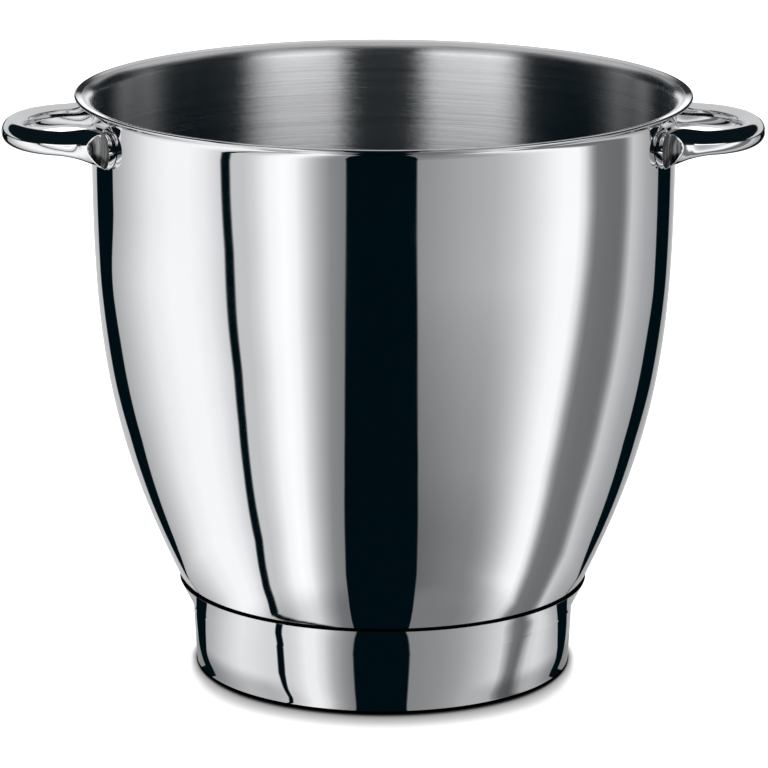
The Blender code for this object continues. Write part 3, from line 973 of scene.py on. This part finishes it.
def make_inner_cards():
    """A floor in the bowl and a screen before its wall, seen from the inside only."""
    bearings = [-180.0 + 1.5 * i for i in range(240)]
    rows = [(0.001 * r, 0.155) for r in (1, 10, 20, 28, 36, 44, 52, 60, 67, 74, 80, 86, 91, 96, 100)]
    rows += [(wall_radius(z * MM) - SHEET - 0.0022, z * MM) for z in range(156, 227, 5)]
    verts, glow = [], []
    for r, z in rows:
        for b in bearings:
            x, y = r * sin(radians(b)), -r * cos(radians(b))
            verts.append((x, y, z))
            glow.append(inner_level(x, y, z))
    n = len(bearings)
    faces = []
    for a in range(len(rows) - 1):
        for k in range(n):
            faces.append((a * n + k, (a + 1) * n + k, (a + 1) * n + (k + 1) % n,
                          a * n + (k + 1) % n))
    faces.append(tuple(range(n)))
    return glowing("inner_cards", verts, faces, glow)


def make_high_cards():
    steps = 240
    tiers = [1.5 * i for i in range(60)] + [89.7]
    verts = [(3.0 * cos(radians(e)) * sin(2 * pi * k / steps),
              -3.0 * cos(radians(e)) * cos(2 * pi * k / steps),
              3.0 * sin(radians(e)) - 0.0012) for e in tiers for k in range(steps)]
    faces = [(a * steps + k, a * steps + (k + 1) % steps,
              (a + 1) * steps + (k + 1) % steps, (a + 1) * steps + k)
             for a in range(len(tiers) - 1) for k in range(steps)]
    return glowing("high_cards", verts, faces, [high_level(*v) for v in verts])


# A flat canopy that only the handles see, level by distance behind the axis in mm.
CANOPY = ((-600, 0.03), (16, 0.03), (21, 0.76), (600, 0.76))
CANOPY_HEIGHT = 0.2297


def make_canopy():
    steps = 240
    radii = [0.1215 + 0.0015 * i for i in range(40)] + [0.1815 + 0.02 * i for i in range(22)]
    verts = [(r * sin(2 * pi * k / steps), -r * cos(2 * pi * k / steps), CANOPY_HEIGHT)
             for r in radii for k in range(steps)]
    faces = [(a * steps + k, a * steps + (k + 1) % steps,
              (a + 1) * steps + (k + 1) % steps, (a + 1) * steps + k)
             for a in range(len(radii) - 1) for k in range(steps)]
    return glowing("canopy", verts, faces,
                   [linear(between(CANOPY, y / MM)) for x, y, z in verts])


# The foot's soft contact shadow: table level by distance from the foot in mm,
# and how far it reaches to each side (1 is straight towards the camera).
SHADE = ((0.0, 0.010), (1.2, 0.012), (2.2, 0.05), (3.2, 0.16), (4.2, 0.33), (5.2, 0.50),
         (6.2, 0.61), (8.2, 0.70), (10.2, 0.75), (13.2, 0.82), (16.2, 0.90), (20.5, 1.0),
         (27.0, 1.1))
SHADE_REACH = ((-1.0, 0.10), (0.1, 0.12), (0.34, 0.25), (0.57, 0.52), (0.77, 0.80), (1.0, 1.0))
TABLE_LIGHT = 1.2             # light on the table near the foot, 1 shows as white


def curve(tree, value, points):
    """Smooth curve through (x, y) points, both from 0 to 1."""
    node = add(tree, "ShaderNodeFloatCurve")
    handle = node.mapping.curves[0]
    while len(handle.points) < len(points):
        handle.points.new(0.5, 0.5)
    for point, (x, y) in zip(handle.points, points):
        point.location = (x, y)
        point.handle_type = "AUTO_CLAMPED"
    node.mapping.update()
    tree.links.new(value, node.inputs["Value"])
    return node.outputs["Value"]


def contact_shade(tree):
    split = add(tree, "ShaderNodeSeparateXYZ")
    tree.links.new(place(tree), split.inputs[0])
    x, y, z = split.outputs
    r = maths(tree, "SQRT", maths(tree, "ADD", maths(tree, "MULTIPLY", x, x),
                                  maths(tree, "MULTIPLY", y, y)))
    ahead = maths(tree, "DIVIDE", maths(tree, "ADD", maths(tree, "MULTIPLY", y, -cos(TURN)),
                                        maths(tree, "MULTIPLY", x, -sin(TURN))),
                  maths(tree, "MAXIMUM", r, 1e-4))
    reach = curve(tree, maths(tree, "MULTIPLY_ADD", ahead, 0.5, 0.5),
                  [((c + 1.0) / 2.0, v) for c, v in SHADE_REACH])
    away = maths(tree, "DIVIDE", maths(tree, "SUBTRACT", r, 0.0738), reach)
    span = SHADE[-1][0]
    level = curve(tree, maths(tree, "DIVIDE", away, span * MM, clamp=True),
                  [(d / span, min(v ** 2.2 / TABLE_LIGHT, 1.0)) for d, v in SHADE])
    grey = add(tree, "ShaderNodeCombineXYZ")
    shade = maths(tree, "MULTIPLY", level, 0.86)
    for socket in grey.inputs:
        tree.links.new(shade, socket)
    return grey.outputs[0]


def make_studio():
    low, close, high = make_low_cards(), make_close_cards(), make_high_cards()
    canopy, inner = make_canopy(), make_inner_cards()
    inner.data.materials.append(glow_material("inner_glow", True))
    only_in_reflections(inner)
    glow = glow_material("card_glow")
    for obj in (low, close, high, canopy):
        obj.data.materials.append(glow)
        only_in_reflections(obj)

    table = bpy.data.meshes.new("table")
    table.from_pydata([(-6, -6, 0), (6, -6, 0), (6, 6, 0), (-6, 6, 0)], [], [(0, 1, 2, 3)])
    floor = bpy.data.objects.new("table", table)
    bpy.context.scene.collection.objects.link(floor)
    mat, tree, shader = new_material("table_white")
    tree.links.new(contact_shade(tree), shader.inputs["Base Color"])
    shader.inputs["Roughness"].default_value = 0.9
    shader.inputs["Specular IOR Level"].default_value = 0.0
    table.materials.append(mat)
    floor.visible_glossy = False
    floor.location = (0.0, 0.0, -0.0002)

    world = bpy.data.worlds.new("studio_air")
    bpy.context.scene.world = world
    world.use_nodes = True
    tree = world.node_tree
    tree.nodes.clear()
    out = add(tree, "ShaderNodeOutputWorld", 600)
    mix = add(tree, "ShaderNodeMixShader", 400)
    path = add(tree, "ShaderNodeLightPath")
    air = add(tree, "ShaderNodeBackground")
    air.inputs["Color"].default_value = (1.0, 1.0, 1.0, 1.0)
    air.inputs["Strength"].default_value = 2.4
    seen = add(tree, "ShaderNodeBackground")
    seen.inputs["Color"].default_value = (1.0, 1.0, 1.0, 1.0)
    seen.inputs["Strength"].default_value = 1.0
    tree.links.new(path.outputs["Is Camera Ray"], mix.inputs[0])
    tree.links.new(air.outputs[0], mix.inputs[1])
    tree.links.new(seen.outputs[0], mix.inputs[2])
    tree.links.new(mix.outputs[0], out.inputs["Surface"])


def make_camera():
    distance, height = 1.70993, 0.53988
    pitch, roll, yaw = 0.2455, 0.0023, 0.0002
    heading = TURN + yaw
    eye = Vector((-distance * sin(TURN), -distance * cos(TURN), height))
    ahead = Vector((sin(heading) * cos(pitch), cos(heading) * cos(pitch), -sin(pitch)))
    right = Vector((cos(heading), -sin(heading), 0.0))
    up = right.cross(ahead)
    side = right * cos(roll) + up * sin(roll)
    top = up * cos(roll) - right * sin(roll)
    data = bpy.data.cameras.new("camera")
    data.sensor_width = 36.0
    data.lens = 4468.6 * 36.0 / 768.0
    data.clip_start, data.clip_end = 0.05, 50.0
    camera = bpy.data.objects.new("camera", data)
    bpy.context.scene.collection.objects.link(camera)
    camera.matrix_world = Matrix((
        (side.x, top.x, -ahead.x, eye.x),
        (side.y, top.y, -ahead.y, eye.y),
        (side.z, top.z, -ahead.z, eye.z),
        (0.0, 0.0, 0.0, 1.0)))
    bpy.context.scene.camera = camera


# ------------------------------------------------------------------ assembly
mirror = polished_steel("bowl_polish")
brushed = brushed_steel("bowl_brushing")
foot_polish = polished_steel("foot_polish")
handle_polish = polished_steel("handle_polish", (0.82, 0.82, 0.83), 0.025)
# the dish's base colour of 0.02 to 0.30 is painted shade, standing in for the dark reflection the dish shows
punched = scuffed_steel_and_shade("handle_punch_painted_shade", 0.02, 0.30, 0.14)
flattened = scuffed_steel_and_shade("handle_flat", 0.50, 0.74, 0.36)
# near-black bevel material: painted shade of the gap between the foot's flare and the belly
seam = seam_painted_shade("foot_seam_painted_shade")
plate = mill_steel("plate_mill")

pieces = (
    (make_bowl(mirror, brushed), "bowl_shell", "bowl_steel"),
    (make_foot(foot_polish, seam), "foot_ring", "foot_steel"),
    (make_lock(plate), "locking_ring", "plate_steel"),
    (make_handle("right_handle", (handle_polish, punched, flattened),
                 False), "handle_right", "handle_steel"),
    (make_handle("left_handle", (handle_polish, punched, flattened),
                 True), "handle_left", "handle_steel"),
)
for piece, node, finish in pieces:
    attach(piece, "root")
    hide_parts(node)

make_studio()
make_camera()

scene = bpy.context.scene
scene.view_settings.view_transform = "Standard"
scene.view_settings.look = "None"
scene.view_settings.exposure = 0.0
scene.view_settings.gamma = 1.0
scene.cycles.max_bounces = 16
scene.cycles.glossy_bounces = 10
scene.cycles.diffuse_bounces = 3
scene.cycles.sample_clamp_indirect = 6.0
